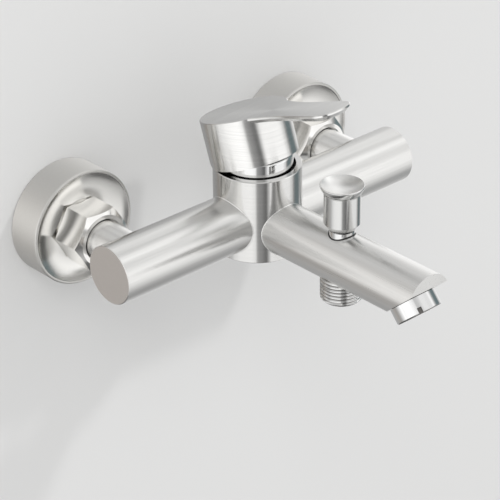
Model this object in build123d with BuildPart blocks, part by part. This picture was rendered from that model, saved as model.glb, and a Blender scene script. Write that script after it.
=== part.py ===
from build123d import *
import os
from math import cos, radians, sin, sqrt, tan

# Wall mounted bath and shower mixer in brushed stainless steel.
# Frame: millimetres, +Z up, +Y into the wall, the wall's face at y = 0. The origin is on that
# face, midway between the two inlets, at the height of the bar's axis.

# ---------------------------------------------------------------- driving dimensions: the wall
inlet_spacing = 150.0
bar_from_wall = 63.5
wall_thread_radius = 10.48
wall_thread_length = 20.0
union_eccentricity = 7.0
union_bore_radius = 6.5
union_key_size = 12.0
union_key_depth = 7.0
union_collar_radius = 14.2
union_collar_length = 5.0
union_throat_radius = 11.6
escutcheon_radius = 30.0
escutcheon_depth = 19.0
escutcheon_rise = 1.0
escutcheon_wall = 1.2
escutcheon_dish = 2.4
nut_across_flats = 29.0
nut_hex_length = 15.3
nut_chamfer_angle = 30.0
nut_face_radius = 13.2
nut_gap = 0.4
nut_thread_radius = 13.3
nut_lip = 4.2
union_thread_radius = 13.22

# ---------------------------------------------------------------- driving dimensions: the bar
bar_length = 191.0
arm_radius = 14.8
arm_wall = 1.5
end_cap_thickness = 2.0
end_cap_spigot = 5.0
end_cap_edge = 0.3
tail_radius = 10.35
tail_bore_radius = 7.6
tail_flange_radius = 12.9
tail_flange = 2.2
tail_reach_in = 0.6
washer_thickness = 2.0
washer_bore_radius = 8.2
check_valve_length = 12.0
check_valve_rim = 1.2
check_valve_hub_radius = 2.0
check_valve_spoke = 1.4

# ---------------------------------------------------------------- driving dimensions: the barrel
barrel_radius = 22.2
barrel_top = 27.2
barrel_bottom = -17.5
barrel_edge = 0.4
barrel_rim_width = 3.0
bonnet_groove = 1.2
bonnet_seat_depth = 4.2
cartridge_floor = -7.0
cartridge_bore_radius = 17.4
port_radius = 2.8
port_side = 8.0
port_back = 4.0
port_front = 8.0
channel_height = -11.2

# ---------------------------------------------------------------- driving dimensions: the cartridge
base_thickness = 4.0
seal_height = 1.2
seal_width = 1.4
disc_thickness = 3.0
fixed_disc_radius = 15.6
moving_disc_radius = 11.5
carrier_radius = 12.4
carrier_height = 6.5
carrier_half_width = 12.0
carrier_pocket_floor = 1.1
rotor_flange_radius = 15.4
rotor_flange = 3.0
rotor_radius = 10.4
rotor_above_pivot = 4.3
stem_width = 6.9
stem_slot_width = 7.5
stem_shank_radius = 1.9
stem_ball_radius = 2.7
stem_top = 23.4
pivot_below_rim = 2.0
pivot_pin_radius = 1.5
pivot_pin_length = 20.2
housing_wall = 1.6
housing_shoulder = 3.8
collar_wall = 1.9
collar_top = 28.0
nut_ring_collar = 3.6
bonnet_wall = 1.5
bonnet_skirt = 2.52
bonnet_straight = 6.2
bonnet_height = 8.8
bonnet_mouth_radius = 9.6

# ---------------------------------------------------------------- driving dimensions: the handle
handle_turn = 4.5
handle_lift = 18.0
cap_overhang = 0.1
cap_wall = 1.9
cap_rim = 4.8
cap_height = 24.6
cap_roof = 4.2
cap_edge = 0.35
lever_reach = 66.5
lever_waist_half_width = 10.9
lever_tip_half_width = 11.8
lever_tip_length = 11.5
lever_tip_crown = 3.0
lever_corner_radius = 8.0
lever_thickness = 3.2
lever_bevel = 2.4
lever_bevel_depth = 2.0
hub_radius = 7.6
hub_bottom = 15.6
hub_rib_width = 9.0
screw_height = 19.4
screw_radius = 2.4
screw_length = 7.0
plug_radius = 2.6
plug_length = 1.9
hex_socket_radius = 1.4
hex_socket_depth = 2.5

# ---------------------------------------------------------------- driving dimensions: the spout
spout_radius = 13.5
spout_wall = 1.5
spout_drop = 1.7
spout_length = 118.2
spout_face_bottom = 4.5
mouth_slope = 41.5
mouth_plate = 8.0
aerator_setback = 14.7
aerator_radius = 11.5
aerator_reach = 8.2
aerator_wall = 1.4
aerator_thread_radius = 10.4
aerator_thread_length = 5.5
aerator_edge = 0.5
aerator_notch_width = 2.2
aerator_notch_height = 2.9
aerator_notch_cut = 2.1
aerator_notch_turn = 124.0
aerator_lip = 1.2
aerator_lip_width = 0.8
aerator_insert_depth = 9.0
aerator_grid_depth = 2.0
aerator_ledge_radius = 8.2
aerator_washer_thickness = 1.2
aerator_grid_bar = 0.7
aerator_grid_pitch = 2.4

# ---------------------------------------------------------------- driving dimensions: the diverter
diverter_from_barrel = 60.0
diverter_travel = 8.0
block_half_length = 12.0
lower_chamber_radius = 7.0
lower_seat_height = -9.5
upper_seat_radius = 4.7
upper_seat_thickness = 1.5
upper_chamber_height = 3.8
chamber_window_width = 9.0
lower_window_height = 7.0
gland_radius = 6.3
gland_thread_radius = 5.0
gland_top = 13.7
gland_seal_width = 0.4
gland_seal_proud = 0.3
rod_radius = 2.5
rod_seal_width = 0.9
rod_seal_height = 1.4
plunger_radius = 6.3
plunger_thickness = 1.5
plunger_seal_radius = 6.0
plunger_seal = 1.0
spring_radius = 3.5
spring_wire_radius = 0.35
spring_turns = 5.5
outlet_thread_radius = 10.48
outlet_end = -24.2
outlet_chamfer = 1.2
outlet_thread_top = -15.6
outlet_neck_radius = 9.2
outlet_spigot_radius = 8.0
outlet_seat_bore = 5.0
outlet_bore_radius = 6.8
outlet_roof = 2.5
knob_bottom = 14.0
knob_foot_radius = 6.45
knob_foot_height = 3.5
knob_radius = 8.95
knob_neck_height = 18.9
knob_groove = 0.25
knob_lip_radius = 10.9
knob_top = 37.5
knob_lip_edge = 0.45
knob_dish = 4.0
rod_in_knob = 12.5
outlet_valve_length = 9.0
seal_ring_width = 1.8

# ---------------------------------------------------------------- clearances
press_gap = 0.03
running_gap = 0.08
loose_gap = 0.3
seat_gap = 0.15
film_gap = 0.05
lid_gap = 0.4

# ---------------------------------------------------------------- derived planes and levels
os.makedirs("parts", exist_ok=True)

half_bar = bar_length / 2
barrel_plane = Plane(origin=(0, -bar_from_wall, 0))
barrel_axis = Axis((0, -bar_from_wall, 0), (0, 0, 1))
arm_bore_radius = arm_radius - arm_wall
spout_bore_radius = spout_radius - spout_wall
spout_axis_z = -spout_drop
spout_plane = Plane(origin=(0, -bar_from_wall, spout_axis_z), x_dir=(1, 0, 0), z_dir=(0, -1, 0))

# Along each inlet, from the wall towards the bar.
collar_end = -(escutcheon_depth - escutcheon_dish)
nut_back = collar_end - nut_gap
nut_hex_end = nut_back - nut_hex_length
nut_corner_radius = nut_across_flats / 2 / cos(radians(30))
nut_face = nut_hex_end - (nut_corner_radius - nut_face_radius) * tan(radians(nut_chamfer_angle))
nut_lip_seat = nut_face + nut_lip
washer_front = nut_lip_seat + tail_flange
union_end = washer_front + washer_thickness
tail_end = -bar_from_wall + sqrt(arm_bore_radius**2 - tail_radius**2) - tail_reach_in

# Levels inside the cartridge.
base_top = cartridge_floor + base_thickness
fixed_disc_top = base_top + disc_thickness
moving_disc_bottom = fixed_disc_top + film_gap
moving_disc_top = moving_disc_bottom + disc_thickness
carrier_top = moving_disc_top + carrier_height
rotor_bottom = carrier_top + loose_gap
rotor_shoulder = rotor_bottom + rotor_flange
pivot_height = barrel_top - pivot_below_rim
rotor_top = pivot_height + rotor_above_pivot
can_roof = rotor_shoulder + running_gap
can_top = can_roof + housing_shoulder
collar_bore_radius = rotor_radius + running_gap
collar_radius = collar_bore_radius + collar_wall
can_radius = cartridge_bore_radius - film_gap
can_bore_radius = can_radius - housing_wall
bonnet_seat = barrel_top - bonnet_seat_depth
bonnet_seat_radius = barrel_radius - barrel_rim_width
bonnet_radius = bonnet_seat_radius - bonnet_groove
bonnet_bore_radius = bonnet_radius - bonnet_skirt
nut_ring_collar_radius = bonnet_bore_radius - running_gap
bonnet_shoulder = barrel_top + bonnet_straight
bonnet_top = barrel_top + bonnet_height

# The handle's frames: x across, y towards the lever's tip, z along the cap's axis. The first
# one only turns with the water's temperature, the second one leans back with the lever lifted.
side_x = -cos(radians(handle_turn))
side_y = -sin(radians(handle_turn))
turned_plane = Plane(origin=(0, -bar_from_wall, 0), x_dir=(side_x, side_y, 0), z_dir=(0, 0, 1))
lever_heading = turned_plane.y_dir
cap_axis = Vector(0, 0, 1) * cos(radians(handle_lift)) - lever_heading * sin(radians(handle_lift))
handle_plane = Plane(
    origin=(0, -bar_from_wall, pivot_height), x_dir=(side_x, side_y, 0), z_dir=cap_axis
)
stem_plane = Plane(origin=handle_plane.origin, x_dir=handle_plane.y_dir, z_dir=handle_plane.x_dir)
cap_radius = barrel_radius + cap_overhang
cap_top = cap_rim + cap_height
lever_root = 0.62 * cap_radius
lever_root_half_width = 0.695 * cap_radius
lever_waist = 0.51 * lever_reach
lever_shoulder = lever_reach - lever_tip_length
cap_bore_radius = cap_radius - cap_wall
cap_ceiling = cap_top - cap_roof
screw_plane = Plane(
    origin=handle_plane.origin + handle_plane.z_dir * screw_height,
    x_dir=handle_plane.x_dir,
    z_dir=-handle_plane.y_dir,
)

# The stem's ball stands straight under the pivot with the tap shut, and swings forward when it
# opens. The moving disc is centred on its travel.
ball_drop = pivot_height - (moving_disc_top + carrier_pocket_floor + stem_ball_radius)
disc_travel = ball_drop * sin(radians(handle_lift))
disc_shift = disc_travel / 2

# The spout's mouth and the aerator in it.
spout_end_y = -(bar_from_wall + spout_length)
mouth_down = Vector(0, cos(radians(mouth_slope)), -sin(radians(mouth_slope)))
mouth_normal = Vector(0, -sin(radians(mouth_slope)), -cos(radians(mouth_slope)))
mouth_edge = Vector(0, spout_end_y, spout_face_bottom)
mouth_plane = Plane(origin=mouth_edge, x_dir=(1, 0, 0), z_dir=mouth_normal)
aerator_plane = Plane(
    origin=mouth_edge + mouth_down * aerator_setback, x_dir=(1, 0, 0), z_dir=mouth_normal
)

# The diverter's levels, along its upright axis.
diverter_y = -(bar_from_wall + diverter_from_barrel)
diverter_plane = Plane(origin=(0, diverter_y, 0))
diverter_section = Plane(origin=(0, diverter_y, 0), x_dir=(1, 0, 0), z_dir=(0, -1, 0))
diverter_axis = Axis((0, diverter_y, 0), (0, 0, 1))
block_radius = spout_bore_radius - film_gap
block_top = spout_axis_z + block_radius
lower_seal_bottom = lower_seat_height + seat_gap
plunger_bottom = lower_seal_bottom + plunger_seal
plunger_top = plunger_bottom + plunger_thickness
upper_seal_top = plunger_top + plunger_seal
upper_seat_bottom = upper_seal_top + diverter_travel + seat_gap
upper_seat_top = upper_seat_bottom + upper_seat_thickness
gland_bottom = upper_seat_top + upper_chamber_height
gland_shoulder = block_top - loose_gap
lower_window_centre = (lower_seat_height + upper_seat_bottom) / 2 + plunger_seal
rod_top = knob_bottom + rod_in_knob


def inlet_plane(side, height=0.0):
    """Return the plane that cuts an inlet along its axis: x outwards, y into the wall."""
    return Plane(origin=(side * inlet_spacing / 2, 0, height), x_dir=(1, 0, 0), z_dir=(0, 0, 1))


def inlet_axis(side, height=0.0):
    """Return an inlet's axis, into the wall, at a height over the bar's axis."""
    return Axis((side * inlet_spacing / 2, 0, height), (0, 1, 0))


def inlet_section(side, depth, height=0.0):
    """Return the plane square to an inlet at a depth, looking away from the wall."""
    return Plane(
        origin=(side * inlet_spacing / 2, depth, height), x_dir=(1, 0, 0), z_dir=(0, -1, 0)
    )


# ---------------------------------------------------------------- barrel
with BuildPart() as barrel:
    with BuildSketch(barrel_plane.offset(barrel_bottom)):
        Circle(barrel_radius)
    extrude(amount=barrel_top - barrel_bottom)
    chamfer(barrel.edges().filter_by(GeomType.CIRCLE), barrel_edge)
    with BuildSketch(barrel_plane.offset(cartridge_floor)):
        Circle(cartridge_bore_radius)
    extrude(amount=barrel_top - cartridge_floor, mode=Mode.SUBTRACT)
    with BuildSketch(barrel_plane.offset(bonnet_seat)):
        Circle(bonnet_seat_radius)
    extrude(amount=bonnet_seat_depth, mode=Mode.SUBTRACT)
    # Hot and cold come in from the arms under the cartridge, and mixed water leaves in front.
    for heading, start in (((-1, 0, 0), port_back), ((1, 0, 0), port_back), ((0, -1, 0), 0)):
        channel_plane = Plane(
            origin=(0, -bar_from_wall + start, channel_height), x_dir=(0, 0, 1), z_dir=heading
        )
        channel_start = port_side if start else port_front
        with BuildSketch(channel_plane.offset(channel_start - port_radius)):
            Circle(port_radius)
        extrude(amount=barrel_radius, mode=Mode.SUBTRACT)
    with BuildSketch(barrel_plane.offset(channel_height)):
        with Locations((-port_side, port_back), (port_side, port_back), (0, -port_front)):
            Circle(port_radius)
    extrude(amount=cartridge_floor - channel_height, mode=Mode.SUBTRACT)
barrel.part.label = "barrel"
export_step(barrel.part, "parts/barrel.step")

# ---------------------------------------------------------------- arms, ends, inlets: each side
for side_name, side in (("left", -1), ("right", 1)):
    bar_plane = Plane(origin=(0, -bar_from_wall, 0), x_dir=(0, -side, 0), z_dir=(side, 0, 0))

    with BuildPart() as arm:
        with BuildSketch(bar_plane):
            Circle(arm_radius)
            Circle(arm_bore_radius, mode=Mode.SUBTRACT)
        extrude(amount=half_bar - end_cap_thickness)
        with BuildSketch(barrel_plane.offset(-arm_radius)):
            Circle(barrel_radius)
        extrude(amount=2 * arm_radius, mode=Mode.SUBTRACT)
        with BuildSketch(inlet_section(side, -bar_from_wall)):
            Circle(tail_radius + press_gap)
        extrude(amount=-arm_radius, mode=Mode.SUBTRACT)
    arm.part.label = f"{side_name}_arm"
    export_step(arm.part, f"parts/{side_name}_arm.step")

    with BuildPart() as end_cap:
        with BuildSketch(bar_plane.offset(half_bar - end_cap_thickness)):
            Circle(arm_radius)
        extrude(amount=end_cap_thickness)
        chamfer(end_cap.faces().sort_by(Axis(bar_plane.origin, bar_plane.z_dir))[-1].edges(), end_cap_edge)
        with BuildSketch(bar_plane.offset(half_bar - end_cap_thickness)):
            Circle(arm_bore_radius - press_gap)
        extrude(amount=-end_cap_spigot)
    end_cap.part.label = f"{side_name}_end_cap"
    export_step(end_cap.part, f"parts/{side_name}_end_cap.step")

    with BuildPart() as tail:
        with BuildSketch(inlet_section(side, washer_front)):
            Circle(tail_flange_radius)
        extrude(amount=tail_flange)
        with BuildSketch(inlet_section(side, washer_front)):
            Circle(tail_radius)
        extrude(amount=washer_front - tail_end)
        with BuildSketch(inlet_section(side, washer_front)):
            Circle(tail_bore_radius)
        extrude(amount=washer_front - tail_end, mode=Mode.SUBTRACT)
    tail.part.label = f"{side_name}_inlet_tail"
    export_step(tail.part, f"parts/{side_name}_inlet_tail.step")

    # A push-in check valve: a ring with three spokes that guide the poppet behind it.
    with BuildPart() as check_valve:
        with BuildSketch(inlet_section(side, nut_lip_seat)):
            Circle(tail_bore_radius - press_gap)
            Circle(tail_bore_radius - check_valve_rim, mode=Mode.SUBTRACT)
        extrude(amount=check_valve_length)
        with BuildSketch(inlet_section(side, nut_lip_seat)):
            with PolarLocations(tail_bore_radius / 2, 3):
                Rectangle(tail_bore_radius - check_valve_rim / 2, check_valve_spoke)
            Circle(check_valve_hub_radius)
        extrude(amount=check_valve_length / 3)
        with BuildSketch(inlet_section(side, nut_lip_seat)):
            Circle(check_valve_hub_radius)
        extrude(amount=check_valve_length)
    check_valve.part.label = f"{side_name}_check_valve"
    export_step(check_valve.part, f"parts/{side_name}_check_valve.step")

    with BuildPart() as inlet_washer:
        with BuildSketch(inlet_section(side, union_end)):
            Circle(tail_flange_radius)
            Circle(washer_bore_radius, mode=Mode.SUBTRACT)
        extrude(amount=washer_thickness)
    inlet_washer.part.label = f"{side_name}_inlet_washer"
    export_step(inlet_washer.part, f"parts/{side_name}_inlet_washer.step")

    with BuildPart() as union_nut:
        with BuildSketch(inlet_section(side, nut_back)):
            RegularPolygon(nut_across_flats / 2, 6, major_radius=False)
        extrude(amount=nut_back - nut_face)
        # The lathe's cone takes the corners off the free end.
        with BuildSketch(inlet_plane(side)):
            with BuildLine():
                Polyline(
                    (nut_face_radius, nut_face),
                    (nut_corner_radius, nut_hex_end),
                    (nut_corner_radius + nut_lip, nut_hex_end),
                    (nut_corner_radius + nut_lip, nut_face),
                    close=True,
                )
            make_face()
        revolve(axis=inlet_axis(side), mode=Mode.SUBTRACT)
        with BuildSketch(inlet_section(side, nut_back)):
            Circle(nut_thread_radius)
        extrude(amount=nut_back - nut_lip_seat, mode=Mode.SUBTRACT)
        with BuildSketch(inlet_section(side, nut_lip_seat)):
            Circle(tail_radius + loose_gap)
        extrude(amount=nut_lip, mode=Mode.SUBTRACT)
        chamfer(union_nut.faces().sort_by(Axis.Y)[0].edges().sort_by(SortBy.LENGTH)[0], 2 * loose_gap)
    union_nut.part.label = f"{side_name}_union_nut"
    export_step(union_nut.part, f"parts/{side_name}_union_nut.step")

    # The eccentric union's wall thread stands higher than its thread for the tap, so turning
    # it in the wall sets the spacing and the level of the two inlets.
    with BuildPart() as union:
        with BuildSketch(inlet_section(side, wall_thread_length, union_eccentricity)):
            Circle(wall_thread_radius)
        extrude(amount=wall_thread_length + press_gap)
        with BuildSketch(inlet_section(side, 0, union_eccentricity)):
            Circle(union_throat_radius)
        with BuildSketch(inlet_section(side, collar_end + union_collar_length, escutcheon_rise)):
            Circle(union_collar_radius)
        loft()
        with BuildSketch(inlet_section(side, collar_end + union_collar_length, escutcheon_rise)):
            Circle(union_collar_radius)
        extrude(amount=union_collar_length)
        with BuildSketch(inlet_section(side, collar_end)):
            Circle(union_thread_radius)
        extrude(amount=collar_end - union_end)
        with BuildSketch(inlet_section(side, wall_thread_length, union_eccentricity)):
            Circle(union_bore_radius)
        extrude(amount=wall_thread_length - collar_end - union_collar_length, mode=Mode.SUBTRACT)
        with BuildSketch(inlet_section(side, 0)):
            Circle(union_bore_radius)
        extrude(amount=-union_end, mode=Mode.SUBTRACT)
        with BuildSketch(inlet_section(side, union_end)):
            RegularPolygon(union_key_size / 2 + loose_gap, 6, major_radius=False)
        extrude(amount=-union_key_depth, mode=Mode.SUBTRACT)
    union.part.label = f"{side_name}_eccentric_union"
    export_step(union.part, f"parts/{side_name}_eccentric_union.step")

    # A spun shell: straight side, rolled lip, shallow dish round the union's collar.
    lip = escutcheon_wall
    dish_edge_radius = escutcheon_radius - 1.5 * lip
    hole_radius = union_collar_radius + seat_gap
    dish_bottom = collar_end + escutcheon_wall / 2
    with BuildPart() as escutcheon:
        with BuildSketch(inlet_plane(side, escutcheon_rise)):
            with BuildLine():
                Line((escutcheon_radius, 0), (escutcheon_radius, -escutcheon_depth + lip))
                ThreePointArc(
                    (escutcheon_radius, -escutcheon_depth + lip),
                    (escutcheon_radius - 0.7 * lip, -escutcheon_depth + 0.1 * lip),
                    (dish_edge_radius, -escutcheon_depth + 0.45 * lip),
                )
                ThreePointArc(
                    (dish_edge_radius, -escutcheon_depth + 0.45 * lip),
                    ((dish_edge_radius + hole_radius) / 2 + 2 * lip, dish_bottom - 0.3 * lip),
                    (hole_radius, dish_bottom),
                )
                Line((hole_radius, dish_bottom), (hole_radius, dish_bottom + escutcheon_wall))
                ThreePointArc(
                    (hole_radius, dish_bottom + escutcheon_wall),
                    ((dish_edge_radius + hole_radius) / 2 + 2 * lip, dish_bottom + 0.7 * lip),
                    (escutcheon_radius - escutcheon_wall, -escutcheon_depth + 2.2 * lip),
                )
                Line(
                    (escutcheon_radius - escutcheon_wall, -escutcheon_depth + 2.2 * lip),
                    (escutcheon_radius - escutcheon_wall, 0),
                )
                Line((escutcheon_radius - escutcheon_wall, 0), (escutcheon_radius, 0))
            make_face()
        revolve(axis=inlet_axis(side, escutcheon_rise))
    escutcheon.part.label = f"{side_name}_escutcheon"
    export_step(escutcheon.part, f"parts/{side_name}_escutcheon.step")

# ---------------------------------------------------------------- cartridge
port_places = ((-port_side, port_back), (port_side, port_back), (0, -port_front))

with BuildPart() as cartridge_base:
    with BuildSketch(barrel_plane.offset(cartridge_floor)):
        Circle(can_radius)
        with Locations(*port_places):
            Circle(port_radius, mode=Mode.SUBTRACT)
    extrude(amount=base_thickness)
    with BuildSketch(barrel_plane.offset(cartridge_floor)):
        with Locations(*port_places):
            Circle(port_radius + seal_width)
    extrude(amount=seal_height, mode=Mode.SUBTRACT)
cartridge_base.part.label = "cartridge_base"
export_step(cartridge_base.part, "parts/cartridge_base.step")

with BuildPart() as base_seals:
    with BuildSketch(barrel_plane.offset(cartridge_floor)):
        with Locations(*port_places):
            Circle(port_radius + seal_width - film_gap)
            Circle(port_radius, mode=Mode.SUBTRACT)
    extrude(amount=seal_height)
base_seals.part.label = "base_seals"
export_step(base_seals.part, "parts/base_seals.step")

with BuildPart() as fixed_disc:
    with BuildSketch(barrel_plane.offset(base_top)):
        Circle(fixed_disc_radius)
        with Locations(*port_places):
            Circle(port_radius, mode=Mode.SUBTRACT)
    extrude(amount=disc_thickness)
fixed_disc.part.label = "fixed_disc"
export_step(fixed_disc.part, "parts/fixed_disc.step")

# The moving disc's hollow joins the open ports below it.
with BuildPart() as moving_disc:
    with BuildSketch(turned_plane.offset(moving_disc_bottom)):
        with Locations((0, disc_shift)):
            Circle(moving_disc_radius)
    extrude(amount=disc_thickness)
    with BuildSketch(turned_plane.offset(moving_disc_bottom)):
        with Locations((0, disc_shift)):
            SlotOverall(1.5 * moving_disc_radius, moving_disc_radius)
    extrude(amount=disc_thickness / 2, mode=Mode.SUBTRACT)
moving_disc.part.label = "moving_disc"
export_step(moving_disc.part, "parts/moving_disc.step")

with BuildPart() as disc_carrier:
    with BuildSketch(turned_plane.offset(moving_disc_top)):
        with Locations((0, disc_shift)):
            Circle(carrier_radius)
            Rectangle(2 * carrier_half_width, 2 * carrier_radius, mode=Mode.INTERSECT)
    extrude(amount=carrier_height)
    with BuildSketch(turned_plane.offset(moving_disc_top + carrier_pocket_floor)):
        with Locations((0, disc_travel)):
            Rectangle(2 * (stem_ball_radius + loose_gap), 2 * (stem_ball_radius + running_gap))
    extrude(amount=carrier_height, mode=Mode.SUBTRACT)
disc_carrier.part.label = "disc_carrier"
export_step(disc_carrier.part, "parts/disc_carrier.step")

# The rotor turns in the cartridge's neck, guides the carrier between two rails and holds the pin.
slot_front = (pivot_height - rotor_bottom) * tan(radians(handle_lift)) + stem_shank_radius + 1
slot_back = rotor_above_pivot * tan(radians(handle_lift)) + stem_width / 2 + 1
with BuildPart() as rotor:
    with BuildSketch(turned_plane.offset(rotor_bottom)):
        Circle(rotor_flange_radius)
    extrude(amount=rotor_flange)
    with BuildSketch(turned_plane.offset(rotor_shoulder)):
        Circle(rotor_radius)
    extrude(amount=rotor_top - rotor_shoulder)
    with BuildSketch(turned_plane.offset(moving_disc_top)):
        Circle(rotor_flange_radius)
        Rectangle(2 * (carrier_half_width + loose_gap), 2 * rotor_flange_radius, mode=Mode.SUBTRACT)
    extrude(amount=rotor_bottom - moving_disc_top)
    with BuildSketch(turned_plane.offset(moving_disc_top)):
        with Locations((0, (slot_front - slot_back) / 2)):
            Rectangle(stem_slot_width, slot_front + slot_back)
    extrude(amount=rotor_top - moving_disc_top, mode=Mode.SUBTRACT)
    with BuildSketch(stem_plane.offset(-rotor_radius)):
        Circle(pivot_pin_radius + press_gap)
    extrude(amount=2 * rotor_radius, mode=Mode.SUBTRACT)
rotor.part.label = "rotor"
export_step(rotor.part, "parts/rotor.step")

with BuildPart() as pivot_pin:
    with BuildSketch(stem_plane.offset(-pivot_pin_length / 2)):
        Circle(pivot_pin_radius)
    extrude(amount=pivot_pin_length)
pivot_pin.part.label = "pivot_pin"
export_step(pivot_pin.part, "parts/pivot_pin.step")

with BuildPart() as lever_stem:
    with BuildSketch(handle_plane.offset(-stem_width / 2)):
        Rectangle(stem_width, stem_width)
    extrude(amount=stem_top + stem_width / 2)
    with BuildSketch(handle_plane.offset(-ball_drop)):
        Circle(stem_shank_radius)
    extrude(amount=ball_drop)
    # The ball is a half disc turned about the stem's own line.
    with BuildSketch(stem_plane):
        with Locations((0, -ball_drop)):
            Circle(stem_ball_radius)
            with Locations((-stem_ball_radius, 0)):
                Rectangle(2 * stem_ball_radius, 2 * stem_ball_radius, mode=Mode.SUBTRACT)
    revolve(axis=Axis(handle_plane.origin, handle_plane.z_dir))
    with BuildSketch(stem_plane.offset(-stem_width)):
        Circle(pivot_pin_radius + film_gap)
    extrude(amount=2 * stem_width, mode=Mode.SUBTRACT)
lever_stem.part.label = "lever_stem"
export_step(lever_stem.part, "parts/lever_stem.step")

with BuildPart() as cartridge_housing:
    with BuildSketch(barrel_plane.offset(base_top)):
        Circle(can_radius)
    extrude(amount=can_top - base_top)
    with BuildSketch(barrel_plane.offset(can_top)):
        Circle(collar_radius)
    extrude(amount=collar_top - can_top)
    with BuildSketch(barrel_plane.offset(base_top)):
        Circle(can_bore_radius)
    extrude(amount=can_roof - base_top, mode=Mode.SUBTRACT)
    with BuildSketch(barrel_plane.offset(can_roof)):
        Circle(collar_bore_radius)
    extrude(amount=collar_top - can_roof, mode=Mode.SUBTRACT)
cartridge_housing.part.label = "cartridge_housing"
export_step(cartridge_housing.part, "parts/cartridge_housing.step")

with BuildPart() as retaining_nut:
    with BuildSketch(barrel_plane.offset(can_top)):
        Circle(cartridge_bore_radius - running_gap)
    extrude(amount=bonnet_seat - can_top)
    with BuildSketch(barrel_plane.offset(bonnet_seat)):
        Circle(nut_ring_collar_radius)
    extrude(amount=nut_ring_collar)
    with BuildSketch(barrel_plane.offset(can_top)):
        Circle(collar_radius + seat_gap)
    extrude(amount=bonnet_seat + nut_ring_collar - can_top, mode=Mode.SUBTRACT)
retaining_nut.part.label = "retaining_nut"
export_step(retaining_nut.part, "parts/retaining_nut.step")

with BuildPart() as bonnet:
    with BuildSketch(Plane(origin=(0, -bar_from_wall, 0), x_dir=(1, 0, 0), z_dir=(0, -1, 0))):
        with BuildLine():
            Line((bonnet_bore_radius, bonnet_seat), (bonnet_radius, bonnet_seat))
            Line((bonnet_radius, bonnet_seat), (bonnet_radius, bonnet_shoulder))
            EllipticalCenterArc(
                (bonnet_mouth_radius, bonnet_shoulder),
                bonnet_radius - bonnet_mouth_radius,
                bonnet_top - bonnet_shoulder,
                start_angle=0,
                arc_size=90,
            )
            Line(
                (bonnet_mouth_radius, bonnet_top), (bonnet_mouth_radius, bonnet_top - bonnet_wall)
            )
            Line(
                (bonnet_mouth_radius, bonnet_top - bonnet_wall),
                (bonnet_bore_radius, bonnet_shoulder - bonnet_wall),
            )
            Line(
                (bonnet_bore_radius, bonnet_shoulder - bonnet_wall),
                (bonnet_bore_radius, bonnet_seat),
            )
        make_face()
    revolve(axis=barrel_axis)
bonnet.part.label = "bonnet"
export_step(bonnet.part, "parts/bonnet.step")

# ---------------------------------------------------------------- handle
with BuildPart() as handle:
    # The flat top carries on from the cap into the paddle lever.
    with BuildSketch(handle_plane.offset(cap_top - lever_thickness)) as lever_outline:
        Circle(cap_radius)
        with BuildLine():
            lever_edge = Spline(
                (lever_root_half_width, lever_root),
                (lever_waist_half_width, lever_waist),
                (lever_tip_half_width, lever_shoulder),
                tangents=((-0.35, 1.0), (0.0, 1.0)),
            )
            tip_side = Line(
                (lever_tip_half_width, lever_shoulder),
                (lever_tip_half_width, lever_reach - lever_tip_crown),
            )
            ThreePointArc(
                (lever_tip_half_width, lever_reach - lever_tip_crown),
                (0, lever_reach),
                (-lever_tip_half_width, lever_reach - lever_tip_crown),
            )
            mirror(lever_edge, about=Plane.YZ)
            mirror(tip_side, about=Plane.YZ)
            Line((lever_root_half_width, lever_root), (-lever_root_half_width, lever_root))
        make_face()
        fillet(lever_outline.vertices().group_by(Axis.Y)[-1], lever_corner_radius)
    extrude(amount=lever_thickness)
    underside = handle.faces().sort_by(Axis(handle_plane.origin, handle_plane.z_dir))[0]
    chamfer(underside.edges(), lever_bevel, lever_bevel_depth, reference=underside)
    topside = handle.faces().sort_by(Axis(handle_plane.origin, handle_plane.z_dir))[-1]
    chamfer(topside.edges(), cap_edge)
    # The cap's skirt, its roof, and the hub with the rib that carries the set screw.
    with BuildSketch(handle_plane.offset(cap_rim)):
        Circle(cap_radius)
        Circle(cap_bore_radius, mode=Mode.SUBTRACT)
    extrude(amount=cap_height - lever_thickness)
    with BuildSketch(handle_plane.offset(cap_ceiling)):
        Circle(cap_radius)
    extrude(amount=cap_roof - cap_edge)
    with BuildSketch(handle_plane.offset(hub_bottom)):
        Circle(hub_radius)
        with Locations((0, -(cap_radius - cap_wall / 2) / 2)):
            Rectangle(hub_rib_width, cap_radius - cap_wall / 2)
    extrude(amount=cap_ceiling - hub_bottom)
    # The rear of the skirt is cut back level with the barrel, so the lever can be lifted.
    with BuildSketch(barrel_plane.offset(barrel_top + lid_gap)):
        Circle(2 * cap_radius)
    extrude(amount=-2 * cap_radius, mode=Mode.SUBTRACT)
    with BuildSketch(handle_plane.offset(hub_bottom)):
        Rectangle(stem_width + 2 * press_gap, stem_width + 2 * press_gap)
    extrude(amount=stem_top - hub_bottom, mode=Mode.SUBTRACT)
    with BuildSketch(screw_plane):
        Circle(screw_radius + press_gap)
    extrude(amount=cap_radius, mode=Mode.SUBTRACT)
    with BuildSketch(screw_plane.offset(cap_bore_radius)):
        Circle(plug_radius + press_gap)
    extrude(amount=cap_radius, mode=Mode.SUBTRACT)
handle.part.label = "handle"
export_step(handle.part, "parts/handle.step")

with BuildPart() as set_screw:
    with BuildSketch(screw_plane.offset(stem_width / 2)):
        Circle(screw_radius)
    extrude(amount=screw_length)
    with BuildSketch(screw_plane.offset(stem_width / 2 + screw_length)):
        RegularPolygon(hex_socket_radius, 6)
    extrude(amount=-hex_socket_depth, mode=Mode.SUBTRACT)
set_screw.part.label = "handle_set_screw"
export_step(set_screw.part, "parts/handle_set_screw.step")

with BuildPart() as screw_plug:
    with BuildSketch(screw_plane.offset(cap_bore_radius)):
        Circle(plug_radius)
    extrude(amount=plug_length)
screw_plug.part.label = "handle_plug"
export_step(screw_plug.part, "parts/handle_plug.step")

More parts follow.
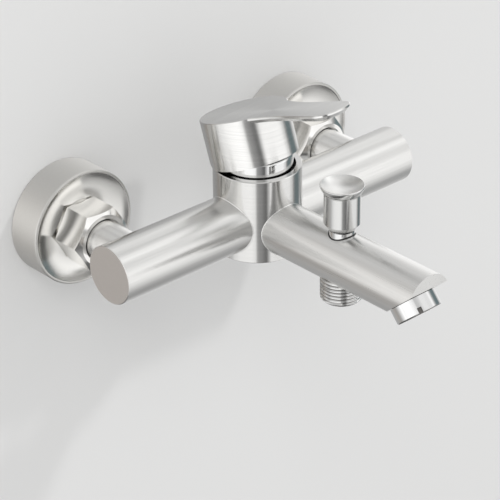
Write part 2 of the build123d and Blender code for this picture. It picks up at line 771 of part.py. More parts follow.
# ---------------------------------------------------------------- spout
with BuildPart() as waterway:
    with BuildSketch(spout_plane):
        Circle(spout_bore_radius)
    extrude(amount=spout_length - spout_wall)
    with BuildSketch(mouth_plane.offset(-mouth_plate)):
        Rectangle(4 * spout_radius, 6 * spout_radius)
    extrude(amount=4 * spout_radius, mode=Mode.SUBTRACT)

with BuildPart() as spout:
    with BuildSketch(spout_plane):
        Circle(spout_radius)
    extrude(amount=spout_length)
    with BuildSketch(mouth_plane):
        Rectangle(4 * spout_radius, 6 * spout_radius)
    extrude(amount=4 * spout_radius, mode=Mode.SUBTRACT)
    add(waterway.part, mode=Mode.SUBTRACT)
    with BuildSketch(barrel_plane.offset(barrel_bottom)):
        Circle(barrel_radius)
    extrude(amount=barrel_top - barrel_bottom, mode=Mode.SUBTRACT)
    with BuildSketch(aerator_plane.offset(-aerator_thread_length - aerator_washer_thickness)):
        Circle(aerator_thread_radius + press_gap)
    extrude(amount=mouth_plate, mode=Mode.SUBTRACT)
    with BuildSketch(aerator_plane.offset(-mouth_plate - spout_wall)):
        Circle(aerator_ledge_radius)
    extrude(amount=mouth_plate, mode=Mode.SUBTRACT)
    with BuildSketch(diverter_plane.offset(spout_axis_z)):
        Circle(gland_radius + gland_seal_width)
    extrude(amount=2 * spout_radius, mode=Mode.SUBTRACT)
    with BuildSketch(diverter_plane.offset(spout_axis_z)):
        Circle(outlet_spigot_radius + press_gap)
    extrude(amount=-2 * spout_radius, mode=Mode.SUBTRACT)
spout.part.label = "spout"
export_step(spout.part, "parts/spout.step")

with BuildPart() as aerator_housing:
    with BuildSketch(aerator_plane.offset(-aerator_thread_length)):
        Circle(aerator_thread_radius)
    extrude(amount=aerator_thread_length + aerator_reach)
    with BuildSketch(aerator_plane.offset(loose_gap)):
        Circle(aerator_radius)
    extrude(amount=aerator_reach - loose_gap)
    chamfer(
        aerator_housing.edges().filter_by(GeomType.CIRCLE).sort_by(
            Axis(aerator_plane.origin, aerator_plane.z_dir)
        )[-1],
        aerator_edge,
    )
    with BuildSketch(aerator_plane.offset(-aerator_thread_length)):
        Circle(aerator_thread_radius - aerator_wall)
    extrude(amount=aerator_thread_length + aerator_reach - aerator_lip, mode=Mode.SUBTRACT)
    with BuildSketch(aerator_plane.offset(-aerator_thread_length)):
        Circle(aerator_thread_radius - aerator_wall - aerator_lip_width)
    extrude(amount=aerator_thread_length + aerator_reach, mode=Mode.SUBTRACT)
    # Two notches in the rim take the fitter's key.
    with BuildSketch(aerator_plane.offset(aerator_reach - aerator_notch_height)):
        with PolarLocations(aerator_radius, 2, start_angle=aerator_notch_turn):
            Rectangle(2 * aerator_notch_cut, aerator_notch_width)
    extrude(amount=aerator_notch_height, mode=Mode.SUBTRACT)
aerator_housing.part.label = "aerator_housing"
export_step(aerator_housing.part, "parts/aerator_housing.step")

with BuildPart() as aerator_insert:
    insert_radius = aerator_thread_radius - aerator_wall - film_gap
    with BuildSketch(aerator_plane.offset(aerator_reach - aerator_lip)):
        Circle(insert_radius)
    extrude(amount=-aerator_insert_depth)
    with BuildSketch(aerator_plane.offset(aerator_reach - aerator_lip)):
        with GridLocations(aerator_grid_pitch, aerator_grid_pitch, 7, 7):
            Rectangle(
                aerator_grid_pitch - aerator_grid_bar, aerator_grid_pitch - aerator_grid_bar
            )
        Circle(insert_radius - aerator_lip_width - film_gap, mode=Mode.INTERSECT)
    extrude(amount=-aerator_grid_depth, mode=Mode.SUBTRACT)
aerator_insert.part.label = "aerator_insert"
export_step(aerator_insert.part, "parts/aerator_insert.step")

with BuildPart() as aerator_washer:
    with BuildSketch(aerator_plane.offset(-aerator_thread_length - aerator_washer_thickness)):
        Circle(aerator_thread_radius)
        Circle(aerator_ledge_radius, mode=Mode.SUBTRACT)
    extrude(amount=aerator_washer_thickness)
aerator_washer.part.label = "aerator_washer"
export_step(aerator_washer.part, "parts/aerator_washer.step")

# ---------------------------------------------------------------- diverter
window_back_plane = Plane(
    origin=(0, diverter_y + block_half_length, lower_window_centre),
    x_dir=(1, 0, 0),
    z_dir=(0, -1, 0),
)
window_front_plane = Plane(
    origin=(0, diverter_y, (upper_seat_top + gland_bottom) / 2), x_dir=(1, 0, 0), z_dir=(0, -1, 0)
)
with BuildPart() as diverter_block:
    with BuildSketch(spout_plane.offset(diverter_from_barrel - block_half_length)):
        Circle(block_radius)
    extrude(amount=2 * block_half_length)
    with BuildSketch(diverter_plane.offset(lower_seat_height)):
        Circle(lower_chamber_radius)
    extrude(amount=upper_seat_bottom - lower_seat_height, mode=Mode.SUBTRACT)
    with BuildSketch(diverter_plane.offset(spout_axis_z)):
        Circle(upper_seat_radius)
    extrude(amount=block_radius, mode=Mode.SUBTRACT)
    with BuildSketch(diverter_plane.offset(upper_seat_top)):
        Circle(gland_thread_radius + press_gap)
    extrude(amount=block_radius, mode=Mode.SUBTRACT)
    with BuildSketch(diverter_plane.offset(gland_shoulder)):
        Circle(gland_radius + gland_seal_width)
    extrude(amount=block_radius, mode=Mode.SUBTRACT)
    with BuildSketch(diverter_plane.offset(lower_seat_height)):
        Circle(outlet_spigot_radius + press_gap)
    extrude(amount=-block_radius, mode=Mode.SUBTRACT)
    with BuildSketch(window_back_plane):
        Rectangle(chamber_window_width, lower_window_height)
    extrude(amount=block_half_length, mode=Mode.SUBTRACT)
    with BuildSketch(window_front_plane):
        Rectangle(chamber_window_width, upper_chamber_height)
    extrude(amount=block_half_length, mode=Mode.SUBTRACT)
diverter_block.part.label = "diverter_block"
export_step(diverter_block.part, "parts/diverter_block.step")

# The hose thread stands on the spout's underside, and its spigot is the lower seat.
with BuildPart() as shower_outlet:
    with BuildSketch(diverter_plane.offset(outlet_end)):
        Circle(outlet_thread_radius)
    extrude(amount=outlet_thread_top - outlet_end)
    chamfer(
        shower_outlet.edges().filter_by(GeomType.CIRCLE).sort_by(Axis.Z)[0], outlet_chamfer
    )
    with BuildSketch(diverter_plane.offset(outlet_thread_top)):
        Circle(outlet_neck_radius)
    extrude(amount=spout_axis_z - outlet_thread_top)
    with BuildSketch(spout_plane.offset(diverter_from_barrel - 2 * spout_radius)):
        Circle(spout_radius + press_gap)
    extrude(amount=4 * spout_radius, mode=Mode.SUBTRACT)
    with BuildSketch(diverter_plane.offset(outlet_end + outlet_chamfer)):
        Circle(outlet_spigot_radius)
    extrude(amount=lower_seat_height - outlet_end - outlet_chamfer)
    with BuildSketch(diverter_plane.offset(outlet_end)):
        Circle(outlet_seat_bore)
    extrude(amount=lower_seat_height - outlet_end, mode=Mode.SUBTRACT)
    with BuildSketch(diverter_plane.offset(outlet_end)):
        Circle(outlet_bore_radius)
    extrude(amount=lower_seat_height - outlet_roof - outlet_end, mode=Mode.SUBTRACT)
shower_outlet.part.label = "shower_outlet"
export_step(shower_outlet.part, "parts/shower_outlet.step")

with BuildPart() as outlet_check_valve:
    with BuildSketch(diverter_plane.offset(lower_seat_height - outlet_roof)):
        Circle(outlet_bore_radius - press_gap)
        Circle(outlet_bore_radius - check_valve_rim, mode=Mode.SUBTRACT)
    extrude(amount=-outlet_valve_length)
    with BuildSketch(diverter_plane.offset(lower_seat_height - outlet_roof - outlet_valve_length)):
        with PolarLocations(outlet_bore_radius / 2, 3):
            Rectangle(outlet_bore_radius - check_valve_rim / 2, check_valve_spoke)
        Circle(check_valve_hub_radius)
    extrude(amount=outlet_valve_length / 3)
    with BuildSketch(diverter_plane.offset(lower_seat_height - outlet_roof)):
        Circle(check_valve_hub_radius)
    extrude(amount=-outlet_valve_length)
outlet_check_valve.part.label = "outlet_check_valve"
export_step(outlet_check_valve.part, "parts/outlet_check_valve.step")

with BuildPart() as gland:
    with BuildSketch(diverter_plane.offset(gland_shoulder)):
        Circle(gland_radius)
    extrude(amount=gland_top - gland_shoulder)
    with BuildSketch(diverter_plane.offset(gland_bottom)):
        Circle(gland_thread_radius)
    extrude(amount=gland_shoulder - gland_bottom)
    with BuildSketch(diverter_plane.offset(gland_bottom)):
        Circle(rod_radius + running_gap)
    extrude(amount=gland_top - gland_bottom, mode=Mode.SUBTRACT)
    with BuildSketch(diverter_plane.offset(gland_top - 2 * rod_seal_height)):
        Circle(rod_radius + rod_seal_width)
    extrude(amount=rod_seal_height, mode=Mode.SUBTRACT)
gland.part.label = "diverter_gland"
export_step(gland.part, "parts/diverter_gland.step")

with BuildPart() as rod_seal:
    with BuildSketch(diverter_plane.offset(gland_top - 2 * rod_seal_height)):
        Circle(rod_radius + rod_seal_width)
        Circle(rod_radius + film_gap, mode=Mode.SUBTRACT)
    extrude(amount=rod_seal_height)
rod_seal.part.label = "diverter_rod_seal"
export_step(rod_seal.part, "parts/diverter_rod_seal.step")

# A dark sealing ring fills the gap round the neck and follows the spout's crown.
with BuildPart() as gland_seal:
    with BuildSketch(spout_plane.offset(diverter_from_barrel - block_half_length)):
        Circle(spout_radius + gland_seal_proud)
        Circle(block_radius + seat_gap, mode=Mode.SUBTRACT)
    extrude(amount=2 * block_half_length)
    with BuildSketch(diverter_plane.offset(0)):
        Circle(gland_radius + gland_seal_width - press_gap)
        Circle(gland_radius + press_gap, mode=Mode.SUBTRACT)
    extrude(amount=spout_radius, mode=Mode.INTERSECT)
gland_seal.part.label = "diverter_gland_seal"
export_step(gland_seal.part, "parts/diverter_gland_seal.step")

with BuildPart() as rod:
    with BuildSketch(diverter_plane.offset(lower_seal_bottom)):
        Circle(rod_radius)
    extrude(amount=rod_top - lower_seal_bottom)
rod.part.label = "diverter_rod"
export_step(rod.part, "parts/diverter_rod.step")

with BuildPart() as plunger:
    with BuildSketch(diverter_plane.offset(plunger_bottom)):
        Circle(plunger_radius)
        Circle(rod_radius + press_gap, mode=Mode.SUBTRACT)
    extrude(amount=plunger_thickness)
plunger.part.label = "diverter_plunger"
export_step(plunger.part, "parts/diverter_plunger.step")

with BuildPart() as plunger_seals:
    for seal_bottom in (lower_seal_bottom, plunger_top):
        with BuildSketch(diverter_plane.offset(seal_bottom)):
            Circle(plunger_seal_radius)
            Circle(plunger_seal_radius - seal_ring_width, mode=Mode.SUBTRACT)
        extrude(amount=plunger_seal)
plunger_seals.part.label = "plunger_seals"
export_step(plunger_seals.part, "parts/plunger_seals.step")

spring_height = gland_bottom - plunger_top - 2 * spring_wire_radius
spring_base = diverter_plane.offset(plunger_top + spring_wire_radius)
with BuildPart() as diverter_spring:
    with BuildLine(spring_base) as coil:
        Helix(spring_height / spring_turns, spring_height, spring_radius)
    with BuildSketch(Plane(origin=coil.line @ 0, z_dir=coil.line % 0)):
        Circle(spring_wire_radius)
    sweep(path=coil.line, is_frenet=True)
diverter_spring.part.label = "diverter_spring"
export_step(diverter_spring.part, "parts/diverter_spring.step")

# The knob: a straight grip under a flared lip, with a dished top for the fingertip.
knob_waist = knob_bottom + knob_neck_height
dish_edge = knob_lip_radius - knob_lip_edge
dish_radius = (dish_edge**2 + knob_dish**2) / (2 * knob_dish)
dish_centre = knob_top - knob_dish + dish_radius
with BuildPart() as knob:
    with BuildSketch(diverter_section):
        with BuildLine():
            Polyline(
                (0, knob_bottom),
                (knob_foot_radius, knob_bottom),
                (knob_radius, knob_bottom + knob_foot_height),
                (knob_radius, knob_waist),
                (knob_radius - knob_groove, knob_waist),
                (knob_radius - knob_groove, knob_waist + 2 * knob_groove),
                (knob_radius, knob_waist + 2 * knob_groove),
            )
            ThreePointArc(
                (knob_radius, knob_waist + 2 * knob_groove),
                (
                    (knob_radius + knob_lip_radius) / 2 + knob_groove / 2,
                    (knob_waist + knob_top) / 2 - knob_groove,
                ),
                (knob_lip_radius, knob_top - knob_lip_edge),
            )
            ThreePointArc(
                (knob_lip_radius, knob_top - knob_lip_edge),
                (knob_lip_radius - 0.3 * knob_lip_edge, knob_top - 0.3 * knob_lip_edge),
                (knob_lip_radius - knob_lip_edge, knob_top),
            )
            ThreePointArc(
                (knob_lip_radius - knob_lip_edge, knob_top),
                (dish_edge / 2, dish_centre - sqrt(dish_radius**2 - dish_edge**2 / 4)),
                (0, knob_top - knob_dish),
            )
            Line((0, knob_top - knob_dish), (0, knob_bottom))
        make_face()
    revolve(axis=diverter_axis)
    with BuildSketch(diverter_plane.offset(knob_bottom)):
        Circle(rod_radius + press_gap)
    extrude(amount=rod_in_knob, mode=Mode.SUBTRACT)
knob.part.label = "diverter_knob"
export_step(knob.part, "parts/diverter_knob.step")
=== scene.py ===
# %% [markdown]
# # A wall mounted bath and shower mixer
# The solids of this tap come ready made from CAD: every tube, nut, ring and lever is already in
# its place, in metres, with +Z up and the wall behind it at y = 0. This lesson dresses them:
# it cuts the threads, finishes the metals and lights the tap the way a catalogue would.

from math import cos, pi, radians, sin, sqrt

import bmesh
import bpy
from mathutils import Matrix, Quaternion, Vector


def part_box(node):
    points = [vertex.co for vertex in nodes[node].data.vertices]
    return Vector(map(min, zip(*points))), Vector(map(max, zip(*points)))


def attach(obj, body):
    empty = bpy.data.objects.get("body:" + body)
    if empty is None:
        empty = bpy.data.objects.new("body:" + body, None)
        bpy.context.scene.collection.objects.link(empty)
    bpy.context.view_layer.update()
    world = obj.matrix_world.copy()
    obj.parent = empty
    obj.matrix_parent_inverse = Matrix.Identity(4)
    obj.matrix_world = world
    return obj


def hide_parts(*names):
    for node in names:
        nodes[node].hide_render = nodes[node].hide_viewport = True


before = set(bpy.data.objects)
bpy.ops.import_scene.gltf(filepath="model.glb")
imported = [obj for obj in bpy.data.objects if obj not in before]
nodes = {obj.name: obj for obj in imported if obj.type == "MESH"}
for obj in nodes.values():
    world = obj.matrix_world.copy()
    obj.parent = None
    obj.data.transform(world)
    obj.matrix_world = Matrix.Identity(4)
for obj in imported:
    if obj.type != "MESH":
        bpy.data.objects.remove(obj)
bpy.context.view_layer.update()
mm = 0.001

# %% [markdown]
# The few sizes that the dressing shares with the solids are measured on them, so a change in the
# CAD moves the dressing too.

# %% Measure the solids
barrel_low, barrel_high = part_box("barrel")
spout_low, spout_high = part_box("spout")
outlet_low, outlet_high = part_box("shower_outlet")
knob_low, knob_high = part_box("diverter_knob")
barrel_middle = (barrel_low + barrel_high) / 2
barrel_radius = (barrel_high.x - barrel_low.x) / 2
knob_middle = (knob_low + knob_high) / 2
spout_radius = (spout_high.x - spout_low.x) / 2
outlet_crest = (outlet_high.x - outlet_low.x) / 2
print("barrel", round(barrel_radius * 2 / mm, 1), "mm wide")

# %% [markdown]
# Every material here, and the studio too, is a net of shader nodes. A few small helpers add them:
# an input of a node gets either a value or the output of another node.


# %% Helpers that add shader nodes
def feed(tree, node, inputs):
    """Give each of these inputs its value, or a link from the socket that stands for it."""
    for key, value in inputs.items():
        if isinstance(value, bpy.types.NodeSocket):
            tree.links.new(value, node.inputs[key])
        else:
            node.inputs[key].default_value = value


def add_node(tree, kind, inputs=None, **settings):
    """Add a shader node, make its settings and feed its inputs."""
    node = tree.nodes.new(kind)
    for key, value in settings.items():
        setattr(node, key, value)
    feed(tree, node, inputs or {})
    return node


def number_math(tree, operation, *values):
    """Add a Math node and return its result."""
    node = add_node(tree, "ShaderNodeMath", dict(enumerate(values)), operation=operation)
    return node.outputs["Value"]


def vector_math(tree, operation, *values):
    """Add a Vector Math node and return its result, a number where the operation gives one."""
    node = add_node(tree, "ShaderNodeVectorMath", dict(enumerate(values)), operation=operation)
    return node.outputs["Value" if operation in ("DOT_PRODUCT", "LENGTH") else "Vector"]


def mixed(tree, first, second, factor=1.0, blend_type="MIX"):
    """Mix two colours and return the result."""
    inputs = {"Factor": factor, "A": first, "B": second}
    node = add_node(tree, "ShaderNodeMix", inputs, data_type="RGBA", blend_type=blend_type)
    return node.outputs["Result"]


print("node helpers are ready")

# %% [markdown]
# A finish is a material: a net of nodes that ends in the Principled shader. Each one starts from
# the same few steps. Object coordinates are metres in the shared frame here, because the origin
# of every piece is the origin of the frame.

# %% Helpers that start a material
noise_low, noise_high = 0.3, 0.7


def new_finish(name, colour, metallic, roughness):
    finish = bpy.data.materials.new(name)
    finish.use_nodes = True
    tree = finish.node_tree
    shader = tree.nodes["Principled BSDF"]
    feed(tree, shader, {"Base Color": (*colour, 1), "Metallic": metallic, "Roughness": roughness})
    return finish, tree, shader


def stretched_noise(tree, stretch, detail=4.0):
    """Add a noise pattern whose cells per metre are given along x, y and z."""
    place = add_node(tree, "ShaderNodeTexCoord").outputs["Object"]
    mapping = add_node(tree, "ShaderNodeMapping", {"Vector": place, "Scale": stretch})
    inputs = {"Scale": 1.0, "Detail": detail, "Roughness": 0.6}
    inputs["Vector"] = mapping.outputs["Vector"]
    return add_node(tree, "ShaderNodeTexNoise", inputs).outputs["Fac"]


def spread(tree, noise, low, high):
    """Turn a noise pattern into numbers from low to high."""
    ends = {"From Min": noise_low, "From Max": noise_high, "To Min": low, "To Max": high}
    return add_node(tree, "ShaderNodeMapRange", {"Value": noise, **ends}).outputs["Result"]


def make_uneven(tree, shader, noise, roughness, share, depth):
    """Let a noise vary the roughness by a share of itself, and the height by up to a depth."""
    varied = spread(tree, noise, roughness * (1 - share), roughness * (1 + share))
    bump = add_node(tree, "ShaderNodeBump", {"Height": noise, "Strength": 1.0, "Distance": depth})
    feed(tree, shader, {"Roughness": varied, "Normal": bump.outputs["Normal"]})


print("a noise is read from", noise_low, "to", noise_high)

# %% [markdown]
# Brushed stainless steel gets its look from thousands of fine lines that all run one way. A noise
# that is stretched along them shows the single lines. The shader's anisotropy draws reflections
# out along the tangent. A Tangent node runs the tangent round the axis of the piece, and a
# quarter turn lays it along the axis, so a band of light stays sharp round a tube and soft along
# it.

# %% Brushed steel
quarter_turn = 0.25


def brushed_steel(
    name, colour, roughness, stretch, axis=None, anisotropy=0.0, depth=8e-7, shade=0.05
):
    """Lines run along the axis with the fewest cells; the shade is how dark they get."""
    finish, tree, shader = new_finish(name, colour, 1.0, roughness)
    grain = stretched_noise(tree, stretch)
    make_uneven(tree, shader, grain, roughness, share=0.07, depth=depth)
    tint = spread(tree, grain, 1.0 - shade, 1.0)
    lined = mixed(tree, (*colour, 1), tint, blend_type="MULTIPLY")
    feed(tree, shader, {"Base Color": lined})
    if axis:
        tangent = add_node(tree, "ShaderNodeTangent", direction_type="RADIAL", axis=axis)
        feed(tree, shader, {"Anisotropic": anisotropy, "Anisotropic Rotation": quarter_turn})
        feed(tree, shader, {"Tangent": tangent.outputs["Tangent"]})
    return finish


steel = (0.76, 0.755, 0.74)
lever_tone = (0.80, 0.795, 0.78)
plate_tone = (0.70, 0.69, 0.665)
dish_tone = (0.79, 0.78, 0.755)
end_tone = (0.70, 0.665, 0.635)
arm_steel = brushed_steel(
    "arm_brushed_steel", steel, 0.24, (30, 1600, 1600),
    axis="X", anisotropy=0.4, depth=1e-7, shade=0.08,
)
spout_steel = brushed_steel(
    "spout_brushed_steel", steel, 0.29, (1600, 30, 1600),
    axis="Y", anisotropy=0.4, depth=1e-7, shade=0.08,
)
turned_steel = brushed_steel(
    "turned_steel", steel, 0.15, (30, 30, 3000),
    axis="Z", anisotropy=0.9, depth=6e-8, shade=0.08,
)
lever_steel = brushed_steel(
    "lever_satin_steel", lever_tone, 0.18, (30, 30, 2600),
    axis="Z", anisotropy=0.9, depth=6e-8, shade=0.12,
)
plate_steel = brushed_steel(
    "cover_plate_steel", plate_tone, 0.52, (900, 1400, 900),
    axis="Y", anisotropy=0.2, depth=5e-8,
)
dish_steel = brushed_steel(
    "dish_turned_steel", dish_tone, 0.21, (900, 300, 900),
    axis="Y", anisotropy=0.1, depth=2e-9, shade=0.03,
)
tail_steel = brushed_steel(
    "tail_steel", steel, 0.20, (90, 3000, 90), axis="Y", anisotropy=0.8, depth=2e-7
)
end_steel = brushed_steel("ground_end_steel", end_tone, 0.42, (1500, 1500, 1500))
print("steel finishes made")

# %% [markdown]
# Some solids carry two finishes. The cover plates are brushed outside and smooth in their dish,
# the crossbar's ends are ground flat and left dull, and the knob is polished round its side but
# satin in the dish on top. One material holds both: the position on the piece, in metres, chooses
# between two shaders.


# %% Two finishes on one piece
def copied_shader(tree, finish):
    """Copy the nodes of a finish into another tree and return the output of its shader."""
    copies = {}
    for node in finish.node_tree.nodes:
        if node.type == "OUTPUT_MATERIAL":
            continue
        copy = tree.nodes.new(node.bl_idname)
        for key in ("data_type", "blend_type", "direction_type", "axis"):
            if hasattr(node, key):
                setattr(copy, key, getattr(node, key))
        for new_slot, old_slot in zip(copy.inputs, node.inputs):
            if hasattr(old_slot, "default_value"):
                new_slot.default_value = old_slot.default_value
        copies[node.name] = copy
        if node.type == "BSDF_PRINCIPLED":
            shader = copy
    for link in finish.node_tree.links:
        if link.to_node.type == "OUTPUT_MATERIAL":
            continue
        outputs = [slot.identifier for slot in link.from_node.outputs]
        inputs = [slot.identifier for slot in link.to_node.inputs]
        tree.links.new(
            copies[link.from_node.name].outputs[outputs.index(link.from_socket.identifier)],
            copies[link.to_node.name].inputs[inputs.index(link.to_socket.identifier)],
        )
    return shader.outputs["BSDF"]


def two_finishes(name, first, second, direction, level, softness=0.05 * mm, bowl=None, hub=None):
    """Past the level along the direction the second finish takes over from the first.

    With a bowl, given by its axis in x and y and its steepness, the level rises outwards.
    With a hub, a point on the axis that the direction gives, the level is a radius.
    """
    both = bpy.data.materials.new(name)
    both.use_nodes = True
    tree = both.node_tree
    tree.nodes.remove(tree.nodes["Principled BSDF"])
    place = add_node(tree, "ShaderNodeTexCoord").outputs["Object"]
    reached = vector_math(tree, "DOT_PRODUCT", place, direction)
    if bowl:
        across = vector_math(tree, "SUBTRACT", place, (bowl[0], bowl[1], 0))
        flat = vector_math(tree, "MULTIPLY", across, (1, 1, 0))
        square = vector_math(tree, "DOT_PRODUCT", flat, flat)
        reached = number_math(tree, "MULTIPLY_ADD", square, -bowl[2], reached)
    if hub:
        across = vector_math(tree, "SUBTRACT", place, hub)
        crossed = vector_math(tree, "CROSS_PRODUCT", across, direction)
        reached = vector_math(tree, "LENGTH", crossed)
    edge = {"Value": reached, "From Min": level - softness, "From Max": level + softness}
    step = add_node(tree, "ShaderNodeMapRange", edge).outputs["Result"]
    shaders = {1: copied_shader(tree, first), 2: copied_shader(tree, second)}
    choice = add_node(tree, "ShaderNodeMixShader", {"Fac": step, **shaders})
    feed(tree, tree.nodes["Material Output"], {"Surface": choice.outputs["Shader"]})
    return both


print("two_finishes is ready")

# %% [markdown]
# Chrome is a mirror with a faint haze. The nuts are polished less than the bonnet, so they have
# their own roughness. A slow, shallow noise keeps a mirror from looking like glass.


# %% Chrome and the machined metals
def chrome(name, colour, roughness, waves=6e-8):
    finish, tree, shader = new_finish(name, colour, 1.0, roughness)
    haze = stretched_noise(tree, (350, 350, 350), detail=2.0)
    make_uneven(tree, shader, haze, roughness, share=0.08, depth=waves)
    return finish


polished_chrome = chrome("polished_chrome", (0.82, 0.82, 0.815), 0.08, waves=2e-8)
nut_chrome = chrome("nut_chrome", (0.90, 0.89, 0.87), 0.14, waves=2e-9)
knob_chrome = chrome("knob_chrome", (0.69, 0.69, 0.68), 0.17, waves=2e-9)
knob_satin = chrome("knob_satin", (0.93, 0.925, 0.91), 0.34, waves=2e-9)
# A dark chrome that paints the shade inside the aerator's notch and bore.
recess_painted_shade = chrome("recess_painted_shade", (0.24, 0.23, 0.22), 0.45, waves=2e-9)
# A darker chrome that paints the shade in the thread's grooves.
groove_painted_shade = chrome("groove_painted_shade", (0.36, 0.35, 0.34), 0.25, waves=2e-9)
bead_chrome = chrome("bead_chrome", (0.90, 0.895, 0.88), 0.16, waves=1e-8)
bright_rod = chrome("bright_rod", (0.66, 0.66, 0.66), 0.10)
machined_brass = brushed_steel("machined_brass", (0.66, 0.50, 0.24), 0.28, (400, 400, 400))
plated_brass = brushed_steel("plated_brass", (0.62, 0.60, 0.56), 0.30, (400, 400, 400))
print("chrome and brass made")

# %% [markdown]
# Rubber and moulded plastic don't conduct, so they aren't metallic: their colour is their own, and
# the gloss on top of it is white.


# %% Rubber, plastic and ceramic
def moulded(name, colour, roughness, depth=4e-6):
    finish, tree, shader = new_finish(name, colour, 0.0, roughness)
    mottle = stretched_noise(tree, (600, 600, 600))
    make_uneven(tree, shader, mottle, roughness, share=0.15, depth=depth)
    return finish


black_rubber = moulded("black_rubber", (0.02, 0.02, 0.02), 0.6)
grey_plastic = moulded("grey_plastic", (0.30, 0.31, 0.33), 0.4)
white_plastic = moulded("white_plastic", (0.80, 0.80, 0.77), 0.4)
ceramic = moulded("lapped_ceramic", (0.86, 0.84, 0.79), 0.15, depth=5e-7)
print("rubber, plastic and ceramic made")

# %% [markdown]
# Each solid gets its finish. The solids themselves stay as they are: only their material changes.

# %% Finish the solids
up = (0, 0, 1)
knob_dish_depth = 4.5 * mm
knob_dish_rise = 38.0
knob_finish = two_finishes(
    "knob_finish", knob_chrome, knob_satin, up, knob_high.z - knob_dish_depth, 0.1 * mm,
    bowl=(knob_middle.x, knob_middle.y, knob_dish_rise),
)
# The aerator leans forward by this angle. Only its outermost edge stays polished chrome.
aerator_lean = radians(41.5)
aerator_edge = 0.35 * mm
ring_radius = (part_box("aerator_housing")[1].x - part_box("aerator_housing")[0].x) / 2
ring_middle = (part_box("aerator_washer")[0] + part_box("aerator_washer")[1]) / 2
ring_axis = (0, -sin(aerator_lean), -cos(aerator_lean))
# Nearer the axis, in the notch and the bore, a dark painted shade replaces the chrome.
aerator_chrome_and_painted_shade = two_finishes(
    "aerator_chrome_and_painted_shade", recess_painted_shade, polished_chrome, ring_axis, ring_radius - aerator_edge,
    hub=ring_middle,
)
# Painted shade darkens the thread's grooves, from 0.4 mm above to 0.4 mm below this depth.
groove_depth = 0.7 * mm
thread_chrome_and_painted_groove_shade = two_finishes(
    "thread_chrome_and_painted_groove_shade", groove_painted_shade, polished_chrome, up, outlet_crest - groove_depth, 0.4 * mm,
    hub=knob_middle,
)
finish_of = {
    "barrel": turned_steel,
    "spout": spout_steel,
    "handle": lever_steel,
    "bonnet": polished_chrome,
    "diverter_knob": knob_finish,
    "diverter_gland": polished_chrome,
    "aerator_housing": aerator_chrome_and_painted_shade,
    "aerator_insert": grey_plastic,
    "shower_outlet": thread_chrome_and_painted_groove_shade,
    "handle_set_screw": bright_rod,
    "handle_plug": grey_plastic,
    "diverter_rod": bright_rod,
    "diverter_spring": bright_rod,
    "pivot_pin": bright_rod,
    "lever_stem": bright_rod,
    "retaining_nut": machined_brass,
    "diverter_block": machined_brass,
    "diverter_plunger": machined_brass,
    "cartridge_base": white_plastic,
    "cartridge_housing": white_plastic,
    "rotor": grey_plastic,
    "disc_carrier": grey_plastic,
    "fixed_disc": ceramic,
    "moving_disc": ceramic,
    "outlet_check_valve": white_plastic,
}
ground_edge = 0.12 * mm
dish_margin = 1.4 * mm
for side in ("left", "right"):
    finish_of[side + "_arm"] = arm_steel
    outwards = (-1, 0, 0) if side == "left" else (1, 0, 0)
    cap_face = max(abs(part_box(side + "_end_cap")[0].x), abs(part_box(side + "_end_cap")[1].x))
    finish_of[side + "_end_cap"] = two_finishes(
        side + "_end_finish", arm_steel, end_steel, outwards, cap_face - ground_edge
    )
    finish_of[side + "_inlet_tail"] = tail_steel
    finish_of[side + "_union_nut"] = nut_chrome
    finish_of[side + "_eccentric_union"] = plated_brass
    plate_low, plate_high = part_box(side + "_escutcheon")
    dish_radius = (plate_high.x - plate_low.x) / 2 - dish_margin
    finish_of[side + "_escutcheon"] = two_finishes(
        side + "_cover_finish", dish_steel, plate_steel, (0, 1, 0), dish_radius, 0.2 * mm,
        hub=(plate_low + plate_high) / 2,
    )
    finish_of[side + "_check_valve"] = white_plastic
for name, solid in nodes.items():
    solid.data.materials.clear()
    solid.data.materials.append(finish_of.get(name, black_rubber))
print("finishes given to", len(nodes), "solids")

# %% [markdown]
# A pipe thread is a V shaped groove that climbs one pitch with each turn. The solids carry it as
# a plain cylinder at its crests. A zigzag line, spun once round the axis while it climbs one
# pitch, sweeps the real flanks: the last copy of the line lands on the first, one tooth further,
# so welding the doubles closes the helix. Planes then cut the spare teeth off both ends, and the
# start is bevelled.


# %% A helper that cuts a pipe thread
thread_pitch = 1.814 * mm
thread_depth = 1.15 * mm
thread_chamfer = 1.2 * mm
thread_facets = 96
spare_teeth = 1.5
# The play at the root, how near two points are welded, and how near counts as on a plane.
hair = 0.02 * mm
weld_distance = 0.002 * mm
plane_distance = 0.0001 * mm


